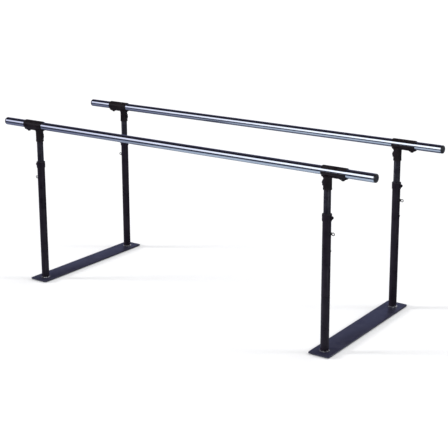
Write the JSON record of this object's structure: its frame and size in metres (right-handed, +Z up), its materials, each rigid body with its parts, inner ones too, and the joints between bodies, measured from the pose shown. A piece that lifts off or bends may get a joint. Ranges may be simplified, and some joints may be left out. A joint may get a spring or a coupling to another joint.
{
  "type": "parallel bars",
  "caption": "Folding, height-adjustable walking bars: bright tubular handrails on black telescoping uprights, standing on flat steel bases.",
  "frame": {"origin": "on the floor, under the centre of the whole object at rest", "axes": "+X along the handrails, from the rear base to the front base; +Y from the right rail to the left rail; +Z up"},
  "size_m": [2.134, 0.755, 0.832],
  "materials": {
    "rail_chrome": "bright plated tube",
    "upright_black": "semi-gloss black enamel",
    "inner_tube_black": "smooth black enamel",
    "bracket_black": "satin black enamel on a casting",
    "base_black": "textured blue-black enamel on flat bar",
    "cap_plastic": "moulded black",
    "bush_nylon": "black nylon",
    "pad_rubber": "ribbed black rubber",
    "black_oxide": "black oxide steel"
  },
  "bodies": {
    "rear_base": {"rear_base_plate": "base_black", "rear_right_pad": "pad_rubber", "rear_right_outer_tube": "upright_black", "rear_right_bush": "bush_nylon", "rear_right_collar": "upright_black", "rear_right_collar_screw": "black_oxide", "rear_right_pin_housing": "black_oxide", "rear_right_guide_screw": "black_oxide", "rear_left_pad": "pad_rubber", "rear_left_outer_tube": "upright_black", "rear_left_bush": "bush_nylon", "rear_left_collar": "upright_black", "rear_left_collar_screw": "black_oxide", "rear_left_pin_housing": "black_oxide", "rear_left_guide_screw": "black_oxide"},
    "front_base": {"front_base_plate": "base_black", "front_right_pad": "pad_rubber", "front_right_outer_tube": "upright_black", "front_right_bush": "bush_nylon", "front_right_collar": "upright_black", "front_right_collar_screw": "black_oxide", "front_right_pin_housing": "black_oxide", "front_right_guide_screw": "black_oxide", "front_left_pad": "pad_rubber", "front_left_outer_tube": "upright_black", "front_left_bush": "bush_nylon", "front_left_collar": "upright_black", "front_left_collar_screw": "black_oxide", "front_left_pin_housing": "black_oxide", "front_left_guide_screw": "black_oxide"},
    "rear_right_leg": {"rear_right_inner_tube": "inner_tube_black", "rear_right_inner_guide": "bush_nylon"},
    "rear_left_leg": {"rear_left_inner_tube": "inner_tube_black", "rear_left_inner_guide": "bush_nylon"},
    "front_right_leg": {"front_right_inner_tube": "inner_tube_black", "front_right_inner_guide": "bush_nylon"},
    "front_left_leg": {"front_left_inner_tube": "inner_tube_black", "front_left_inner_guide": "bush_nylon"},
    "right_handrail": {"right_rail": "rail_chrome", "right_rail_rear_cap": "cap_plastic", "right_rail_front_cap": "cap_plastic", "rear_right_bracket": "bracket_black", "rear_right_rail_bolt": "black_oxide", "rear_right_stem_screw": "black_oxide", "front_right_bracket": "bracket_black", "front_right_rail_bolt": "black_oxide", "front_right_stem_screw": "black_oxide"},
    "left_handrail": {"left_rail": "rail_chrome", "left_rail_rear_cap": "cap_plastic", "left_rail_front_cap": "cap_plastic", "rear_left_bracket": "bracket_black", "rear_left_rail_bolt": "black_oxide", "rear_left_stem_screw": "black_oxide", "front_left_bracket": "bracket_black", "front_left_rail_bolt": "black_oxide", "front_left_stem_screw": "black_oxide"},
    "rear_right_pin": {"rear_right_pull_pin": "black_oxide"},
    "rear_left_pin": {"rear_left_pull_pin": "black_oxide"},
    "front_right_pin": {"front_right_pull_pin": "black_oxide"},
    "front_left_pin": {"front_left_pull_pin": "black_oxide"}
  },
  "joints": [
    {"name": "height_right", "type": "slide", "parent": "rear_base", "child": "rear_right_leg", "axis": [0, 0, 1], "range_m": [-0.0762, 0.2286]},
    {"name": "fold", "type": "hinge", "parent": "rear_right_leg", "child": "right_handrail", "pos_m": [-0.837, -0.323, 0.809], "axis": [0, 0, 1], "range_deg": [-85, 85]},
    {"name": "front_right_swivel", "type": "hinge", "parent": "right_handrail", "child": "front_right_leg", "pos_m": [0.837, -0.323, 0.809], "axis": [0, 0, 1], "range_deg": [-85, 85]},
    {"name": "front_right_height", "type": "slide", "parent": "front_right_leg", "child": "front_base", "axis": [0, 0, 1], "range_m": [-0.2286, 0.0762]},
    {"name": "height_left", "type": "slide", "parent": "rear_base", "child": "rear_left_leg", "axis": [0, 0, 1], "range_m": [-0.0762, 0.2286]},
    {"name": "rear_left_swivel", "type": "hinge", "parent": "rear_left_leg", "child": "left_handrail", "pos_m": [-0.837, 0.323, 0.809], "axis": [0, 0, 1], "range_deg": [-85, 85]},
    {"name": "front_left_swivel", "type": "hinge", "parent": "left_handrail", "child": "front_left_leg", "pos_m": [0.837, 0.323, 0.809], "axis": [0, 0, 1], "range_deg": [-85, 85]},
    {"name": "rear_right_pin_pull", "type": "slide", "parent": "rear_base", "child": "rear_right_pin", "axis": [-1, 0, 0], "range_m": [0, 0.008], "stiffness_N_per_m": 400, "springref_m": -0.006},
    {"name": "rear_left_pin_pull", "type": "slide", "parent": "rear_base", "child": "rear_left_pin", "axis": [-1, 0, 0], "range_m": [0, 0.008], "stiffness_N_per_m": 400, "springref_m": -0.006},
    {"name": "front_right_pin_pull", "type": "slide", "parent": "front_base", "child": "front_right_pin", "axis": [1, 0, 0], "range_m": [0, 0.008], "stiffness_N_per_m": 400, "springref_m": -0.006},
    {"name": "front_left_pin_pull", "type": "slide", "parent": "front_base", "child": "front_left_pin", "axis": [1, 0, 0], "range_m": [0, 0.008], "stiffness_N_per_m": 400, "springref_m": -0.006}
  ],
  "couplings": [
    {"joint": "front_right_swivel", "follows": "fold", "ratio": -1},
    {"joint": "rear_left_swivel", "follows": "fold", "ratio": 1},
    {"joint": "front_left_swivel", "follows": "fold", "ratio": -1},
    {"joint": "front_right_height", "follows": "height_right", "ratio": -1}
  ]
}
